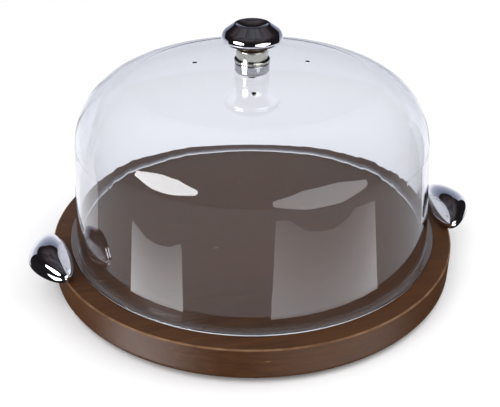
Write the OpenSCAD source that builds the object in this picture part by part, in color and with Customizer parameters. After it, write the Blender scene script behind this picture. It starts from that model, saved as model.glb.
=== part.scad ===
// Cheese dome: a round wooden serving board with two cast lug handles and a
// clear moulded cover that lifts off by its turned metal knob.
// Millimetres. The table is z = 0, the board's axis is the Z axis and the
// handles are a mirrored pair either side of the YZ plane.

/* [Board] */
// Diameter of the board
board_d = 350; // [320:5:400]
// Thickness of the board
board_t = 28.5; // [24:0.5:36]
// Rounding of the board's lower edge
board_round = 5; // [2:0.5:8]
// Small chamfer on the board's upper edge
board_chamfer = 0.9; // [0.4:0.1:2]

/* [Feet] */
// Number of stick-on rubber feet
foot_count = 4; // [3:1:6]
// Diameter of one foot
foot_d = 24; // [16:1:36]
// Height of one foot
foot_h = 4; // [2:0.5:8]
// Radius of the circle that the feet stand on
foot_ring_r = 120; // [90:5:135]
// Rounding of a foot's lower edge
foot_round = 1; // [0.5:0.1:1.5]

/* [Dome] */
// Height of the dome above the board, without the knob
dome_h = 144.2; // [125:0.2:165]
// Outer radius of the wall where it meets the flange
dome_foot_r = 155; // [145:0.5:156]
// Wall thickness
dome_wall = 3; // [2:0.5:4]
// Taper of the wall, in degrees from upright
dome_draft = 4.8; // [2:0.2:8]
// Outer radius of the rounded shoulder
shoulder_r = 53; // [35:1:60]
// Radius of the very flat crown
crown_r = 1050; // [800:10:1400]
// How far the flange stands out from the wall
flange_reach = 4.8; // [3.5:0.1:5]
// Thickness of the flange
flange_t = 2; // [1.5:0.1:3]
// Diameter of a vent hole
vent_d = 4; // [2:0.5:6]
// Distance of the first vent from the axis
vent_r = 45; // [30:0.5:60]
// Direction of the first vent, in degrees from +X
vent_turn = -102.5; // [-180:0.5:180]
// Angle between the two vents opposite the first, in degrees
vent_spread = 126; // [60:1:150]
// Distance of those two vents from the axis
vent_far_r = 53; // [30:0.5:60]

/* [Knob] */
// Diameter of the mushroom head
head_d = 49; // [44:0.5:54]
// Diameter of the plain collar under the neck
collar_d = 28.2; // [26:0.2:30]
// Height of the collar
collar_h = 7.4; // [5:0.2:9]
// Diameter of the neck's foot ring
ring_d = 29; // [28:0.2:32]
// Diameter of the neck at its narrowest
neck_d = 25.5; // [20:0.5:27]
// Diameter of the lip on which the head sits
lip_d = 27.4; // [27:0.2:30]

/* [Handles] */
// Distance of a lug's centre from the board's axis
lug_r = 180; // [179:0.5:183]
// Half of the lug's size along the radius
lug_reach = 16.8; // [14:0.2:17]
// Half of the lug's size along the rim
lug_half_w = 30.6; // [26:0.2:34]
// Half of the lug's height
lug_half_h = 13.5; // [12:0.1:15]
// Height of the lug's centre above the board's top
lug_rise = 8; // [6:0.1:9]
// How much the lug narrows towards its outer end
lug_taper = 0.52; // [0.3:0.02:0.6]
// How far the lug's inner end reaches down, as a share of its half height
lug_skirt = 0.65; // [0:0.05:1]
// How far each lug sits forward of the diameter, in degrees
lug_forward = 8.7; // [0:0.1:20]

/* [Hidden] */

// Smoothness of round shapes
$fn = 180;
// Overlap used only where one shape is cut from another
cut = 1;

// Heights of the main levels
board_top = foot_h + board_t;
// The dome rests on the board with a hair of clearance under the flange
rest_gap = 0.1;
dome_z = board_top + rest_gap;
crown_z = board_top + dome_h;
// The crown is flattened by this much to seat the knob
seat_drop = 0.1;
seat_z = crown_z - seat_drop;

// Lug screws: M4, up through the board into the casting
lug_screw_r = 2;
lug_screw_play = 0.3;
lug_screw_head_r = 4;
lug_screw_head_h = 3;
lug_screw_pos_r = 168;
lug_pocket_r = 5;
lug_pocket_deep = 8;
lug_bore_deep = 11;
lug_screw_in = 10;
slot_w = 1.2;
slot_deep = 1.4;

// Knob screw: M5, up through the crown, collar and neck into the head
knob_screw_r = 2.5;
knob_screw_play = 0.2;
knob_screw_head_r = 4.75;
knob_screw_head_h = 3;
knob_hole_r = knob_screw_r + knob_screw_play;
washer_r = 8;
washer_t = 1;
gasket_t = 0.8;
gasket_r = collar_d / 2 - 0.8;
// Underside of the crown, where the washer bears
under_z = crown_z - dome_wall - washer_r * washer_r / (2 * crown_r);

// Levels of the knob above the crown's seat
collar_z = gasket_t;
collar_top = collar_z + collar_h;
ring_z = collar_top + 0.5;
ring_h = 2.8;
neck_z = ring_z + ring_h - 0.2;
lip_z = neck_z + 7.4;
lip_h = 0.7;
head_z = lip_z + lip_h;
// The head's underside is a cone that runs into a rounded edge; above the edge
// a larger round runs into a cone, and that into the rim round the dish on top
head_foot_r = lip_d / 2 + 0.5;
head_low_r = 3.5;
head_high_r = 7.6;
head_mid_z = head_z + 8.7;
low_c = [head_d / 2 - head_low_r, head_mid_z];
high_c = [head_d / 2 - head_high_r, head_mid_z];
rim_tube_r = 2.2;
rim_r = head_d / 2 - 11.2;
rim_z = head_mid_z + 9.3;
rim_c = [rim_r, rim_z];
// The dish is a sphere tangent to the rim's inner side
dish_drop = 1.2;
dish_r = (pow(rim_r, 2) + pow(dish_drop, 2) - pow(rim_tube_r, 2)) / (2 * (rim_tube_r + dish_drop));
dish_z = rim_z - dish_drop;
head_bore_deep = 9.5;
head_screw_in = 8.5;

function unit(v) = v / norm(v);
function heading(v) = atan2(v[1], v[0]);
function toward(a) = [cos(a), sin(a)];

// Lines of the dome's outline, found from its driving sizes: the wall is a
// straight taper, the crown a large circle about the axis, and the shoulder a
// circle tangent to both.
wall_dir = [-sin(dome_draft), cos(dome_draft)];
wall_in = [-cos(dome_draft), -sin(dome_draft)];
wall_foot = [dome_foot_r, board_top];
crown_c = [0, crown_z - crown_r];
foot_c = wall_foot + shoulder_r * wall_in - crown_c;
along = foot_c * wall_dir;
gap_sq = foot_c * foot_c - pow(crown_r - shoulder_r, 2);
shoulder_c = crown_c + foot_c + (sqrt(along * along - gap_sq) - along) * wall_dir;

// Solid half outline of the dome, stepped in by t from its outer surface and
// closed below at the height base
module dome_outline(t, base) {
    wall_end = shoulder_c - (shoulder_r - t) * wall_in;
    crown_end = crown_c + (crown_r - t) * unit(shoulder_c - crown_c);
    union() {
        polygon([
            [0, base],
            wall_foot + t * wall_in
                + (base - board_top + t * sin(dome_draft)) / cos(dome_draft) * wall_dir,
            wall_end,
            shoulder_c,
            crown_end,
            [0, crown_end[1]]
        ]);
        translate(shoulder_c) circle(r = shoulder_r - t);
        intersection() {
            translate(crown_c) circle(r = crown_r - t, $fn = 1440);
            translate([0, shoulder_c[1]]) square([crown_end[0], dome_h]);
        }
    }
}

// Half outline of a ring of outer radius r with every outer edge rounded by e
module rounded_half(r, h, e) {
    union() {
        square([r - e, h]);
        translate([0, e]) square([r, h - 2 * e]);
        translate([r - e, e]) circle(r = e);
        translate([r - e, h - e]) circle(r = e);
    }
}

// Slotted round-head screw standing on its head: head from z = 0 up, then shank
module slotted_screw(shank_r, length, head_r, head_h) {
    difference() {
        union() {
            rotate_extrude() {
                intersection() {
                    rounded_half(head_r, 2 * head_h, head_h * 0.6);
                    square([head_r, head_h]);
                }
            }
            cylinder(r = shank_r, h = head_h + length);
        }
        translate([-head_r - cut, -slot_w / 2, -cut])
            cube([2 * (head_r + cut), slot_w, slot_deep + cut]);
    }
}

// One lug before it is fitted to the board: rings of ellipses along the radius,
// wider towards the board and narrower towards the outer end, their lower halves
// drawn down to the board at the inner end
module lug_blank() {
    along_n = 18;
    round_n = 36;
    rings = [for (i = [1:along_n - 1], j = [0:round_n - 1])
        let (s = cos(180 * i / along_n), q = sin(180 * i / along_n), v = 360 * j / round_n,
             skirt = s < 0 && sin(v) < 0 ? lug_skirt * (1 - q) : 0)
        [lug_reach * s, lug_half_w * (1 - lug_taper * s) * q * cos(v), lug_half_h * (q + skirt) * sin(v)]];
    tips = [[lug_reach, 0, 0], [-lug_reach, 0, 0]];
    outer_tip = len(rings);
    inner_tip = outer_tip + 1;
    last = (along_n - 2) * round_n;
    sides = [for (i = [0:along_n - 3], j = [0:round_n - 1], k = [0, 1])
        let (a = i * round_n + j, b = i * round_n + (j + 1) % round_n)
        k == 0 ? [a, b, a + round_n] : [b, b + round_n, a + round_n]];
    ends = [for (j = [0:round_n - 1], k = [0, 1])
        let (m = (j + 1) % round_n)
        k == 0 ? [outer_tip, m, j] : [inner_tip, last + j, last + m]];
    polyhedron(points = concat(rings, tips), faces = concat(sides, ends), convexity = 4);
}

// One lug in place on the +X side: rebated to sit on the rim's upper corner,
// with a blind hole for its screw
module lug() {
    difference() {
        translate([lug_r, 0, board_top + lug_rise]) lug_blank();
        translate([0, 0, foot_h]) cylinder(r = board_d / 2, h = board_t);
        translate([lug_screw_pos_r, 0, board_top - cut])
            cylinder(r = lug_screw_r, h = lug_bore_deep + cut, $fn = 48);
    }
}

module at_right() {
    rotate(-lug_forward) children();
}

module at_left() {
    rotate(180 + lug_forward) children();
}

// Half outline of the board: upright side, rounded below, chamfered above
module board_half() {
    r = board_d / 2;
    union() {
        translate([0, board_round])
            polygon([
                [0, 0],
                [r, 0],
                [r, board_t - board_round - board_chamfer],
                [r - board_chamfer, board_t - board_round],
                [0, board_t - board_round]
            ]);
        square([r - board_round, board_t - board_chamfer]);
        translate([r - board_round, board_round]) circle(r = board_round);
    }
}

module board() {
    color("#3d241b")
    translate([0, 0, foot_h])
    difference() {
        rotate_extrude() board_half();
        for (side = [0, 1])
            rotate(side == 0 ? -lug_forward : 180 + lug_forward)
            translate([lug_screw_pos_r, 0, -cut]) {
                cylinder(r = lug_screw_r + lug_screw_play, h = board_t + 2 * cut, $fn = 48);
                cylinder(r = lug_pocket_r, h = lug_pocket_deep + cut, $fn = 48);
            }
    }
}

module rubber_feet() {
    color("#26262a")
    for (i = [0:foot_count - 1])
        rotate(45 + 360 * i / foot_count)
        translate([foot_ring_r, 0, 0])
        rotate_extrude($fn = 96)
        union() {
            translate([0, foot_round]) square([foot_d / 2, foot_h - foot_round]);
            square([foot_d / 2 - foot_round, foot_h - foot_round]);
            translate([foot_d / 2 - foot_round, foot_round]) circle(r = foot_round, $fn = 48);
        }
}

module handle_left() {
    color("#c9c9d2") at_left() lug();
}

module handle_right() {
    color("#c9c9d2") at_right() lug();
}

module handle_screws() {
    start = foot_h + lug_pocket_deep - lug_screw_head_h;
    shank = board_top + lug_screw_in - start - lug_screw_head_h;
    color("#9a9aa0")
    for (side = [0, 1])
        rotate(side == 0 ? -lug_forward : 180 + lug_forward)
        translate([lug_screw_pos_r, 0, start])
        slotted_screw(lug_screw_r, shank, lug_screw_head_r, lug_screw_head_h, $fn = 48);
}

module dome() {
    flange_r = dome_foot_r + flange_reach;
    edge = flange_t / 2;
    color([0.86, 0.87, 0.95, 0.35])
    difference() {
        rotate_extrude()
        difference() {
            union() {
                intersection() {
                    dome_outline(0, dome_z);
                    square([flange_r, seat_z]);
                }
                translate([dome_foot_r - dome_wall, dome_z])
                    square([flange_reach + dome_wall - edge, flange_t]);
                translate([flange_r - edge, dome_z + edge]) circle(r = edge, $fn = 48);
            }
            dome_outline(dome_wall, dome_z - cut);
        }
        translate([0, 0, crown_z - 2 * dome_wall])
            cylinder(r = knob_hole_r, h = 3 * dome_wall, $fn = 48);
        for (turn = [0, 180 - vent_spread / 2, 180 + vent_spread / 2])
            rotate(vent_turn + turn)
            translate([turn == 0 ? vent_r : vent_far_r, 0, crown_z - 3 * dome_wall])
            cylinder(d = vent_d, h = 4 * dome_wall, $fn = 48);
    }
}

module knob_gasket() {
    color("#d8d8dc")
    translate([0, 0, seat_z])
    difference() {
        cylinder(r = gasket_r, h = gasket_t);
        translate([0, 0, -cut]) cylinder(r = knob_hole_r, h = gasket_t + 2 * cut, $fn = 48);
    }
}

module knob_collar() {
    color("#c9c9d2")
    translate([0, 0, seat_z + collar_z])
    difference() {
        rotate_extrude() rounded_half(collar_d / 2, collar_h, 0.8, $fn = 48);
        translate([0, 0, -cut]) cylinder(r = knob_hole_r, h = collar_h + 2 * cut, $fn = 48);
    }
}

module knob_neck() {
    neck_r = neck_d / 2;
    lip_out = lip_d / 2 - neck_r;
    rise = lip_z - neck_z;
    flare_r = (rise * rise + lip_out * lip_out) / (2 * lip_out);
    color("#c9c9d2")
    translate([0, 0, seat_z])
    difference() {
        rotate_extrude()
        union() {
            translate([0, collar_top]) square([collar_d / 2 - 0.5, ring_z - collar_top + ring_h / 2]);
            translate([0, ring_z]) rounded_half(ring_d / 2, ring_h, 0.9, $fn = 48);
            difference() {
                translate([0, ring_z]) square([lip_d / 2, lip_z - ring_z]);
                translate([neck_r + flare_r, neck_z]) circle(r = flare_r);
                translate([neck_r, ring_z]) square([flare_r, neck_z - ring_z]);
            }
            translate([0, lip_z - 0.4]) rounded_half(lip_d / 2, lip_h + 0.4, 0.4, $fn = 48);
        }
        translate([0, 0, collar_top - cut])
            cylinder(r = knob_hole_r, h = head_z - collar_top + 2 * cut, $fn = 48);
    }
}

module knob_head() {
    // The cone under the head, tangent to its low round
    foot = [head_foot_r, head_z];
    reach = norm(low_c - foot);
    under = heading(low_c - foot) - asin(head_low_r / reach);
    // Direction square to the cone above, tangent to the high round and the rim
    over = heading(rim_c - high_c) - acos((head_high_r - rim_tube_r) / norm(rim_c - high_c));
    color("#c9c9d2")
    translate([0, 0, seat_z])
    difference() {
        rotate_extrude()
        difference() {
            union() {
                polygon([
                    [0, head_z],
                    foot,
                    foot + sqrt(reach * reach - head_low_r * head_low_r) * toward(under),
                    low_c,
                    [0, head_mid_z]
                ]);
                translate(low_c) circle(r = head_low_r);
                intersection() {
                    translate(high_c) circle(r = head_high_r);
                    translate([0, head_mid_z]) square([head_d / 2, head_high_r + cut]);
                }
                polygon([
                    [0, head_mid_z],
                    high_c,
                    high_c + head_high_r * toward(over),
                    rim_c + rim_tube_r * toward(over),
                    rim_c,
                    [0, rim_z]
                ]);
                translate(rim_c) circle(r = rim_tube_r);
                translate([0, head_mid_z]) square([rim_r, rim_z - head_mid_z + rim_tube_r * 0.8]);
            }
            translate([0, dish_z + dish_r]) circle(r = dish_r, $fn = 360);
        }
        translate([0, 0, head_z - cut])
            cylinder(r = knob_screw_r, h = head_bore_deep + cut, $fn = 48);
    }
}

module knob_washer() {
    color("#b5b5ba")
    translate([0, 0, under_z - washer_t])
    difference() {
        cylinder(r = washer_r, h = washer_t, $fn = 96);
        translate([0, 0, -cut]) cylinder(r = knob_hole_r, h = washer_t + 2 * cut, $fn = 48);
    }
}

module knob_screw() {
    start = under_z - washer_t - knob_screw_head_h;
    shank = seat_z + head_z + head_screw_in - under_z + washer_t;
    color("#9a9aa0")
    translate([0, 0, start])
    slotted_screw(knob_screw_r, shank, knob_screw_head_r, knob_screw_head_h, $fn = 48);
}

board();
rubber_feet();
handle_left();
handle_right();
handle_screws();
dome();
knob_gasket();
knob_collar();
knob_neck();
knob_head();
knob_washer();
knob_screw();
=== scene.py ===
import math
import bpy
import bmesh
from mathutils import Matrix, Vector


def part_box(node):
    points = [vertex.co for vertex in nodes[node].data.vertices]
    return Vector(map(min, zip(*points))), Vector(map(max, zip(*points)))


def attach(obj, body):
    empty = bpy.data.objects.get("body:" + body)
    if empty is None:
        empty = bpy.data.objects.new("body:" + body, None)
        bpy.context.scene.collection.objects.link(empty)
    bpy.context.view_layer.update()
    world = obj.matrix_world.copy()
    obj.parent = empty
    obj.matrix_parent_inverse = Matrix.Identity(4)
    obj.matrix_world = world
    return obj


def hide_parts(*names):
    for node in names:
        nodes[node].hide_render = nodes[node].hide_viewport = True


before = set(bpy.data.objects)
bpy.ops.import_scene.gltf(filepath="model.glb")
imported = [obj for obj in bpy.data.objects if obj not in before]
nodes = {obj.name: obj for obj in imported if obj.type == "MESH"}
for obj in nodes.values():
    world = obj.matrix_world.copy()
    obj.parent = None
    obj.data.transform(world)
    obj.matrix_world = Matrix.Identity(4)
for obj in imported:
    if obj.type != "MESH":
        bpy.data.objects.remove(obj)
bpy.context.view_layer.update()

# ---------------------------------------------------------------- sizes, from the frame
BOARD_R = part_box("board")[1][1]
BOARD_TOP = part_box("board")[1][2]

# ---------------------------------------------------------------- the view
# The camera stands in front of the board, a little to the left of the handles' own front.
CAM_TURN = -104.32          # its direction from the board's axis, in degrees from +X
CAM_REACH = 0.6206          # its distance from the axis
CAM_HEIGHT = 0.4131         # its height over the table
CAM_PITCH = -30.18          # its tilt
CAM_PAN = -14.16            # the direction it looks, from +Y
CAM_LENS = 58.22


def add_camera():
    cam = bpy.data.cameras.new("camera")
    cam.lens = CAM_LENS
    cam.sensor_width = 36.0
    cam.clip_start = 0.01
    ob = bpy.data.objects.new("camera", cam)
    bpy.context.collection.objects.link(ob)
    turn = math.radians(CAM_TURN)
    ob.location = (CAM_REACH * math.cos(turn), CAM_REACH * math.sin(turn), CAM_HEIGHT)
    ob.rotation_euler = (math.radians(90 + CAM_PITCH), 0, math.radians(CAM_PAN))
    bpy.context.scene.camera = ob


# ---------------------------------------------------------------- shader helpers
class Tree:
    """A material's node tree with short calls for the nodes it is made of."""

    def __init__(self, name):
        self.mat = bpy.data.materials.new(name)
        self.mat.use_nodes = True
        self.nt = self.mat.node_tree
        self.nt.nodes.clear()
        self.out = self.nt.nodes.new("ShaderNodeOutputMaterial")

    def node(self, kind, **settings):
        n = self.nt.nodes.new("ShaderNode" + kind)
        for key, value in settings.items():
            setattr(n, key, value)
        return n

    def put(self, source, target):
        if isinstance(source, bpy.types.NodeSocket):
            self.nt.links.new(source, target)
        else:
            target.default_value = source

    def coords(self):
        return self.node("TexCoord").outputs["Object"]

    def mapping(self, vector, scale=(1, 1, 1), turn=(0, 0, 0), move=(0, 0, 0)):
        n = self.node("Mapping")
        self.put(vector, n.inputs["Vector"])
        n.inputs["Scale"].default_value = scale
        n.inputs["Rotation"].default_value = turn
        n.inputs["Location"].default_value = move
        return n.outputs[0]

    def noise(self, vector, scale, detail=4.0, rough=0.55, distort=0.0):
        n = self.node("TexNoise")
        self.put(vector, n.inputs["Vector"])
        n.inputs["Scale"].default_value = scale
        n.inputs["Detail"].default_value = detail
        n.inputs["Roughness"].default_value = rough
        n.inputs["Distortion"].default_value = distort
        return n.outputs["Fac"]

    def voronoi(self, vector, scale):
        n = self.node("TexVoronoi")
        self.put(vector, n.inputs["Vector"])
        n.inputs["Scale"].default_value = scale
        return n.outputs["Distance"]

    def math(self, operation, a, b=0.0):
        n = self.node("Math", operation=operation)
        for source, target in zip((a, b), n.inputs):
            self.put(source, target)
        return n.outputs[0]

    def remap(self, value, low, high, to_low=0.0, to_high=1.0):
        n = self.node("MapRange", clamp=True)
        for source, target in zip((value, low, high, to_low, to_high), n.inputs):
            self.put(source, target)
        return n.outputs[0]

    def ramp(self, value, stops):
        n = self.node("ValToRGB")
        self.put(value, n.inputs[0])
        points = n.color_ramp.elements
        while len(points) < len(stops):
            points.new(0.5)
        for point, (place, colour) in zip(points, stops):
            point.position = place
            point.color = (*colour, 1)
        return n.outputs[0]

    def mix(self, factor, a, b):
        n = self.node("Mix", data_type="RGBA")
        self.put(factor, n.inputs[0])
        for source, target in ((a, n.inputs[6]), (b, n.inputs[7])):
            self.put((*source, 1) if isinstance(source, tuple) else source, target)
        return n.outputs[2]

    def bump(self, height, distance, strength=1.0, normal=None):
        n = self.node("Bump")
        n.inputs["Strength"].default_value = strength
        n.inputs["Distance"].default_value = distance
        self.put(height, n.inputs["Height"])
        if normal is not None:
            self.put(normal, n.inputs["Normal"])
        return n.outputs[0]

    def xyz(self, vector):
        n = self.node("SeparateXYZ")
        self.put(vector, n.inputs[0])
        return n.outputs

    def principled(self, **inputs):
        n = self.node("BsdfPrincipled")
        for key, value in inputs.items():
            socket = n.inputs[key.replace("_", " ")]
            self.put((*value, 1) if isinstance(value, tuple) and len(value) == 3 else value, socket)
        return n

    def surface(self, shader):
        self.nt.links.new(shader.outputs[0], self.out.inputs["Surface"])
        return self.mat


# ---------------------------------------------------------------- materials
def wood_material():
    """Dark stained wood: straight grain along X, a pale upper edge that is part painted highlight and part
    wear, a few nicks.
    """
    t = Tree("dark_wood")
    place = t.coords()
    x, y, z = t.xyz(place)
    radius = t.math("SQRT", t.math("ADD", t.math("MULTIPLY", x, x), t.math("MULTIPLY", y, y)))

    grain = t.mapping(place, scale=(5, 110, 150))
    fibres = t.noise(grain, 2.2, detail=6, rough=0.62, distort=0.25)
    pores = t.noise(t.mapping(place, scale=(14, 420, 420)), 1.6, detail=3, rough=0.6)
    broad = t.noise(t.mapping(place, scale=(3, 16, 16)), 1.5, detail=3, rough=0.5, distort=0.6)
    cloud = t.noise(place, 9.0, detail=2)

    stain = t.ramp(fibres, [(0.28, (0.037, 0.0135, 0.0043)), (0.52, (0.065, 0.0245, 0.0073)),
                            (0.78, (0.097, 0.0390, 0.0125))])
    stain = t.mix(t.remap(broad, 0.35, 0.75, 0.0, 0.45), stain, (0.046, 0.0150, 0.0047))
    stain = t.mix(t.remap(cloud, 0.42, 0.7, 0.0, 0.30), stain, (0.094, 0.0415, 0.0150))
    stain = t.mix(t.remap(pores, 0.60, 0.74, 0.0, 0.55), stain, (0.017, 0.0065, 0.0035))

    # the chamfer is painted pale in patches: a painted highlight along the edge, mixed with wear
    edge = t.math("MULTIPLY", t.remap(radius, BOARD_R - 0.0016, BOARD_R - 0.0006),
                  t.remap(z, BOARD_TOP - 0.0014, BOARD_TOP - 0.0004))
    wear_and_sheen = t.remap(t.noise(place, 60.0, detail=3), 0.34, 0.62, 0.25, 0.95)
    stain = t.mix(t.math("MULTIPLY", edge, wear_and_sheen), stain, (0.24, 0.135, 0.075))

    # small pale nicks, drawn out along the grain
    flecks = t.voronoi(t.mapping(place, scale=(22, 60, 60)), 1.0)
    nick = t.math("MULTIPLY", t.remap(flecks, 0.045, 0.075, 1.0, 0.0), 0.55)
    stain = t.mix(nick, stain, (0.27, 0.16, 0.10))

    rough = t.math("ADD", t.remap(fibres, 0.3, 0.7, 0.36, 0.46), t.remap(cloud, 0.4, 0.7, 0.0, 0.06))
    normal = t.bump(fibres, 0.00035, 0.55)
    normal = t.bump(t.math("SUBTRACT", 1.0, pores), 0.00018, 0.45, normal)
    normal = t.bump(t.math("SUBTRACT", 1.0, nick), 0.0004, 0.5, normal)
    return t.surface(t.principled(Base_Color=stain, Roughness=rough, Normal=normal,
                                  Specular_IOR_Level=0.20))


def chrome_material(name, tint):
    """Bright plated metal with faint casting ripple and smears."""
    t = Tree(name)
    place = t.coords()
    smear = t.noise(t.mapping(place, scale=(90, 90, 55)), 1.0, detail=4, rough=0.6, distort=0.8)
    speck = t.noise(place, 900.0, detail=2)
    colour = t.mix(t.remap(smear, 0.35, 0.75, 0.0, 0.35), tint, tuple(c * 0.9 for c in tint))
    rough = t.math("ADD", t.remap(smear, 0.42, 0.78, 0.025, 0.085), t.remap(speck, 0.6, 0.8, 0.0, 0.03))
    wave = t.noise(place, 45.0, detail=1.5, rough=0.4)
    normal = t.bump(wave, 0.00012, 0.5)
    return t.surface(t.principled(Base_Color=colour, Metallic=1.0, Roughness=rough, Normal=normal))


def clear_material():
    """Clear moulded plastic with a faint lavender tint; it lets lamp light through."""
    t = Tree("clear_plastic")
    place = t.coords()
    haze = t.noise(t.mapping(place, scale=(14, 14, 9)), 1.0, detail=4, rough=0.6)
    scuff = t.noise(t.mapping(place, scale=(240, 240, 40), turn=(0.3, 0.2, 0.4)), 1.0, detail=3, rough=0.7)
    rough = t.math("ADD", t.remap(haze, 0.45, 0.8, 0.0, 0.006), t.remap(scuff, 0.74, 0.84, 0.0, 0.05))
    wave = t.noise(place, 5.0, detail=0.0)
    normal = t.bump(wave, 0.0004, 0.3)
    glass = t.principled(Base_Color=(0.965, 0.97, 0.992), Roughness=rough, Normal=normal,
                         Transmission_Weight=1.0, IOR=1.49)
    lamp = t.node("BsdfTransparent")
    lamp.inputs[0].default_value = (0.85, 0.85, 0.88, 1)
    both = t.node("MixShader")
    t.put(t.node("LightPath").outputs["Is Shadow Ray"], both.inputs[0])
    t.put(glass.outputs[0], both.inputs[1])
    t.put(lamp.outputs[0], both.inputs[2])
    absorb = t.node("VolumeAbsorption")
    absorb.inputs["Color"].default_value = (0.30, 0.42, 0.66, 1)
    absorb.inputs["Density"].default_value = 16.0
    t.put(absorb.outputs[0], t.out.inputs["Volume"])
    return t.surface(both)


def rubber_material():
    t = Tree("foot_rubber")
    place = t.coords()
    grit = t.noise(place, 1400.0, detail=3)
    dust = t.noise(place, 70.0, detail=4)
    colour = t.mix(t.remap(dust, 0.45, 0.75, 0.0, 0.6), (0.022, 0.022, 0.024), (0.055, 0.052, 0.048))
    rough = t.remap(dust, 0.35, 0.7, 0.62, 0.85)
    return t.surface(t.principled(Base_Color=colour, Roughness=rough, Normal=t.bump(grit, 0.0002, 0.4)))


def steel_material():
    t = Tree("screw_steel")
    place = t.coords()
    turned = t.noise(t.mapping(place, scale=(60, 60, 900)), 1.0, detail=4)
    colour = t.mix(t.remap(turned, 0.35, 0.7), (0.42, 0.42, 0.43), (0.60, 0.60, 0.61))
    rough = t.remap(turned, 0.3, 0.75, 0.24, 0.42)
    return t.surface(t.principled(Base_Color=colour, Metallic=1.0, Roughness=rough,
                                  Normal=t.bump(turned, 0.00008, 0.5)))


def washer_material():
    t = Tree("soft_washer")
    place = t.coords()
    cloud = t.noise(place, 300.0, detail=3)
    colour = t.mix(t.remap(cloud, 0.4, 0.7), (0.60, 0.60, 0.64), (0.72, 0.72, 0.75))
    return t.surface(t.principled(Base_Color=colour, Roughness=t.remap(cloud, 0.3, 0.7, 0.35, 0.5),
                                  Normal=t.bump(cloud, 0.00006, 0.4)))


# ---------------------------------------------------------------- handles
# A lug is a stack of ellipses along the radius, wider at the board than outside, their
# lower halves drawn down at the inner end, the whole rebated by the board's own corner.
LUG_R = 0.180
LUG_REACH = 0.0168
LUG_HALF_W = 0.0306
LUG_HALF_H = 0.0135
LUG_RISE = 0.008
LUG_TAPER = 0.52
LUG_SKIRT = 0.65
LUG_FORWARD = 8.7
LUG_RINGS = 72
LUG_ROUND = 128


def smooth_by_angle(mesh, degrees):
    for poly in mesh.polygons:
        poly.use_smooth = True
    mesh.set_sharp_from_angle(angle=math.radians(degrees))


def mesh_object(name, bm):
    mesh = bpy.data.meshes.new(name)
    bm.to_mesh(mesh)
    bm.free()
    ob = bpy.data.objects.new(name, mesh)
    bpy.context.collection.objects.link(ob)
    return ob


def apply_modifiers(ob):
    depsgraph = bpy.context.evaluated_depsgraph_get()
    mesh = bpy.data.meshes.new_from_object(ob.evaluated_get(depsgraph))
    ob.modifiers.clear()
    ob.data = mesh


def lug_blank():
    bm = bmesh.new()
    rows = []
    for i in range(1, LUG_RINGS):
        s, q = math.cos(math.pi * i / LUG_RINGS), math.sin(math.pi * i / LUG_RINGS)
        wide = LUG_HALF_W * (1 - LUG_TAPER * s) * q
        deep = LUG_HALF_H * (q + (LUG_SKIRT * (1 - q) if s < 0 else 0))
        row = []
        for j in range(LUG_ROUND):
            side, up = math.cos(2 * math.pi * j / LUG_ROUND), math.sin(2 * math.pi * j / LUG_ROUND)
            row.append(bm.verts.new((LUG_R + LUG_REACH * s, wide * side,
                                     BOARD_TOP + LUG_RISE + (LUG_HALF_H * q if up > 0 else deep) * up)))
        rows.append(row)
    outer = bm.verts.new((LUG_R + LUG_REACH, 0, BOARD_TOP + LUG_RISE))
    inner = bm.verts.new((LUG_R - LUG_REACH, 0, BOARD_TOP + LUG_RISE))
    for j in range(LUG_ROUND):
        k = (j + 1) % LUG_ROUND
        bm.faces.new((outer, rows[0][j], rows[0][k]))
        bm.faces.new((inner, rows[-1][k], rows[-1][j]))
        for a, b in zip(rows, rows[1:]):
            bm.faces.new((a[j], b[j], b[k], a[k]))
    bmesh.ops.recalc_face_normals(bm, faces=bm.faces)
    return bm


def board_cutter():
    bm = bmesh.new()
    bmesh.ops.create_cone(bm, cap_ends=True, segments=720, radius1=BOARD_R, radius2=BOARD_R, depth=0.06,
                          matrix=Matrix.Translation((0, 0, BOARD_TOP - 0.03)))
    return mesh_object("cutter", bm)


def add_lug(name, node, turn, material):
    lug = mesh_object(name, lug_blank())
    cutter = board_cutter()
    cut = lug.modifiers.new("rebate", "BOOLEAN")
    cut.operation = "DIFFERENCE"
    cut.object = cutter
    cut.solver = "EXACT"
    apply_modifiers(lug)
    bpy.data.objects.remove(cutter)
    lug.data.transform(Matrix.Rotation(math.radians(turn), 4, "Z"))
    smooth_by_angle(lug.data, 35)
    lug.data.materials.clear()
    lug.data.materials.append(material)
    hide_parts(node)
    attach(lug, "board")


# ---------------------------------------------------------------- studio
VIEW = CAM_TURN + 90.0      # the view's own turn: panel directions are as seen from the camera
ROOM_R = 3.0
PANEL_REACH = 1.6           # from the axis to each panel
PANEL_MIDDLE = 0.08         # the height over the table that the panels face
BACKDROP_R = 0.46
BACKDROP_FOOT = -0.14
BACKDROP_TOP = 0.345
BACKDROP_RIGHT = -62        # its two ends, in degrees from straight behind
BACKDROP_LEFT = 85
BACKDROP_DROP = 0.12        # how far its top comes down beyond BACKDROP_BEND
BACKDROP_BEND = 46
BACKDROP_SLOPE = 16
BACKDROP_STEPS = 40


def only_for(ob, camera=False, diffuse=False, glossy=False, transmission=False, shadow=False):
    ob.visible_camera = camera
    ob.visible_diffuse = diffuse
    ob.visible_glossy = glossy
    ob.visible_transmission = transmission
    ob.visible_shadow = shadow
    ob.visible_volume_scatter = False


def glowing(t, colour, strength=1.0):
    """Plain emission, met by reflected rays and not sampled as a lamp."""
    light = t.node("Emission")
    t.put((*colour, 1) if isinstance(colour, tuple) else colour, light.inputs[0])
    light.inputs[1].default_value = strength
    t.mat.cycles.emission_sampling = "NONE"
    return t.surface(light)


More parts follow.
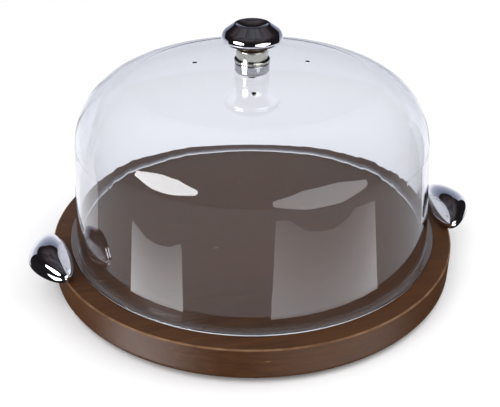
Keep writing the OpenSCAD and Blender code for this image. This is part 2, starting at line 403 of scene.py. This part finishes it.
def add_floor():
    """A plain pale sheet. Polished parts don't mirror it directly."""
    bm = bmesh.new()
    bmesh.ops.create_grid(bm, x_segments=1, y_segments=1, size=6.0)
    floor = mesh_object("floor", bm)
    t = Tree("floor_paper")
    mottle = t.noise(t.coords(), 3.0, detail=2)
    colour = t.mix(t.remap(mottle, 0.3, 0.7), (0.88, 0.88, 0.89), (0.90, 0.90, 0.905))
    floor.data.materials.append(t.surface(t.principled(Base_Color=colour, Roughness=0.9)))
    only_for(floor, camera=True, diffuse=True, glossy=False, transmission=True, shadow=True)


def add_reflected_room():
    """What the polished parts mirror where no panel stands: a dim room, palest overhead."""
    bm = bmesh.new()
    bmesh.ops.create_uvsphere(bm, u_segments=48, v_segments=24, radius=ROOM_R)
    room = mesh_object("reflected_room", bm)
    t = Tree("reflected_room")
    place = t.coords()
    height = t.math("DIVIDE", t.xyz(place)[2], ROOM_R)
    clutter = t.noise(t.mapping(place, scale=(1.2, 1.2, 1.7)), 1.0, detail=3, distort=0.6)
    glow = t.ramp(height, [(0.0, (0.020, 0.018, 0.020)), (0.35, (0.012, 0.010, 0.012)),
                           (0.62, (0.022, 0.017, 0.018)), (0.80, (0.085, 0.070, 0.074)),
                           (1.0, (0.105, 0.105, 0.120))])
    glow = t.mix(t.remap(clutter, 0.40, 0.62, 0.0, 0.6), glow, (0.012, 0.010, 0.012))
    room.data.materials.append(glowing(t, glow))
    only_for(room, glossy=True)


def add_backdrop():
    """A low curved screen behind the board that glows and is seen only in reflections, brightest at its foot
    and dimmer upward.
    """
    turn = math.radians(VIEW + 90)
    bm = bmesh.new()
    rings = []
    for i in range(BACKDROP_STEPS + 1):
        side = math.radians(BACKDROP_RIGHT + (BACKDROP_LEFT - BACKDROP_RIGHT) * i / BACKDROP_STEPS)
        place = Vector((math.cos(turn + side), math.sin(turn + side), 0)) * BACKDROP_R
        past = (math.degrees(abs(side)) - BACKDROP_BEND) / BACKDROP_SLOPE
        top = BACKDROP_TOP - BACKDROP_DROP * min(1, max(0, past))
        rings.append([bm.verts.new(place + Vector((0, 0, BACKDROP_FOOT))),
                      bm.verts.new(place + Vector((0, 0, top)))])
    for a, b in zip(rings, rings[1:]):
        bm.faces.new((a[0], b[0], b[1], a[1]))
    screen = mesh_object("backdrop", bm)
    t = Tree("backdrop")
    height = t.remap(t.xyz(t.coords())[2], BACKDROP_FOOT, BACKDROP_TOP)
    glow = t.ramp(height, [(0.0, (1.15, 1.15, 1.20)), (0.42, (0.95, 0.96, 1.02)),
                           (0.60, (0.50, 0.53, 0.64)), (0.80, (0.30, 0.33, 0.42)), (1.0, (0.20, 0.22, 0.29))])
    screen.data.materials.append(glowing(t, glow))
    only_for(screen, glossy=True)


def add_panel(name, turn, rise, width, height, strength, corner, pointed=0.0, fade=0.0):
    """A lit panel seen only in reflections: it faces the object and is sized in degrees.

    Its corners are cut off, by more along its length where pointed is set, and its upper
    part darkens where fade is set.
    """
    half_w = PANEL_REACH * math.tan(math.radians(width / 2))
    half_h = PANEL_REACH * math.tan(math.radians(height / 2))
    cut = corner * min(half_w, half_h)
    in_w, in_h = half_w - cut - pointed * half_w, half_h - cut
    outline = [(half_w, -in_h), (half_w, in_h), (in_w, half_h), (-in_w, half_h),
               (-half_w, in_h), (-half_w, -in_h), (-in_w, -half_h), (in_w, -half_h)]
    bm = bmesh.new()
    bm.faces.new([bm.verts.new((a, b, 0)) for a, b in outline])
    panel = mesh_object(name, bm)
    level = Vector((math.cos(math.radians(rise)), 0, math.sin(math.radians(rise))))
    away = Matrix.Rotation(math.radians(turn), 3, "Z") @ level
    facing = away.to_track_quat("Z", "Y").to_matrix().to_4x4()
    panel.matrix_world = Matrix.Translation(away * PANEL_REACH + Vector((0, 0, PANEL_MIDDLE))) @ facing
    t = Tree(name)
    glow = (0.97, 0.97, 1.0)
    if fade:
        upper = t.remap(t.xyz(t.coords())[1], half_h * (1 - 2 * fade), half_h)
        glow = t.mix(upper, glow, (0.25, 0.25, 0.26))
    panel.data.materials.append(glowing(t, glow, strength))
    only_for(panel, glossy=True)


def add_lamp(name, place, size, power):
    lamp = bpy.data.lights.new(name, "AREA")
    lamp.shape = "SQUARE"
    lamp.size = size
    lamp.energy = power
    ob = bpy.data.objects.new(name, lamp)
    bpy.context.collection.objects.link(ob)
    ob.location = place
    ob.rotation_euler = Vector(place).to_track_quat("Z", "Y").to_euler()
    ob.visible_glossy = False
    ob.visible_transmission = False


def add_world():
    world = bpy.data.worlds.new("studio")
    world.use_nodes = True
    back = world.node_tree.nodes["Background"]
    back.inputs[0].default_value = (1, 1, 1, 1)
    back.inputs[1].default_value = 0.88
    world.cycles_visibility.glossy = False
    bpy.context.scene.world = world


# ---------------------------------------------------------------- build
add_camera()
chrome = chrome_material("chrome", (0.74, 0.74, 0.78))
finishes = {
    "board": wood_material(),
    "rubber_feet": rubber_material(),
    "handle_screws": steel_material(),
    "dome": clear_material(),
    "knob_gasket": washer_material(),
    "knob_collar": chrome_material("dark_chrome", (0.40, 0.40, 0.42)),
    "knob_neck": chrome_material("warm_chrome", (0.46, 0.46, 0.41)),
    "knob_head": chrome,
}
finishes["knob_washer"] = finishes["knob_screw"] = finishes["handle_screws"]
for name, material in finishes.items():
    for slot in nodes[name].material_slots:
        slot.material = material

add_lug("lug_right", "handle_right", -LUG_FORWARD, chrome)
add_lug("lug_left", "handle_left", 180 + LUG_FORWARD, chrome)

add_floor()
add_world()
add_reflected_room()
add_backdrop()
add_panel("panel_high_left", -142 + VIEW, 17, 40, 22, 18.0, corner=0.7, pointed=0.35)
add_panel("panel_high_right", -49.5 + VIEW, 7, 58, 28, 4.0, corner=0.7, pointed=0.35)
add_panel("panel_low_left", -147.5 + VIEW, -36, 32, 27, 7.4, corner=0.05, fade=0.35)
add_panel("panel_low_right", -45 + VIEW, -34, 60, 27, 3.1, corner=0.05, fade=0.35)
add_lamp("key", (-0.9, -1.1, 1.9), 1.6, 24)
add_lamp("fill", (1.2, -0.6, 1.6), 1.6, 12)

bpy.context.scene.view_settings.view_transform = "Standard"
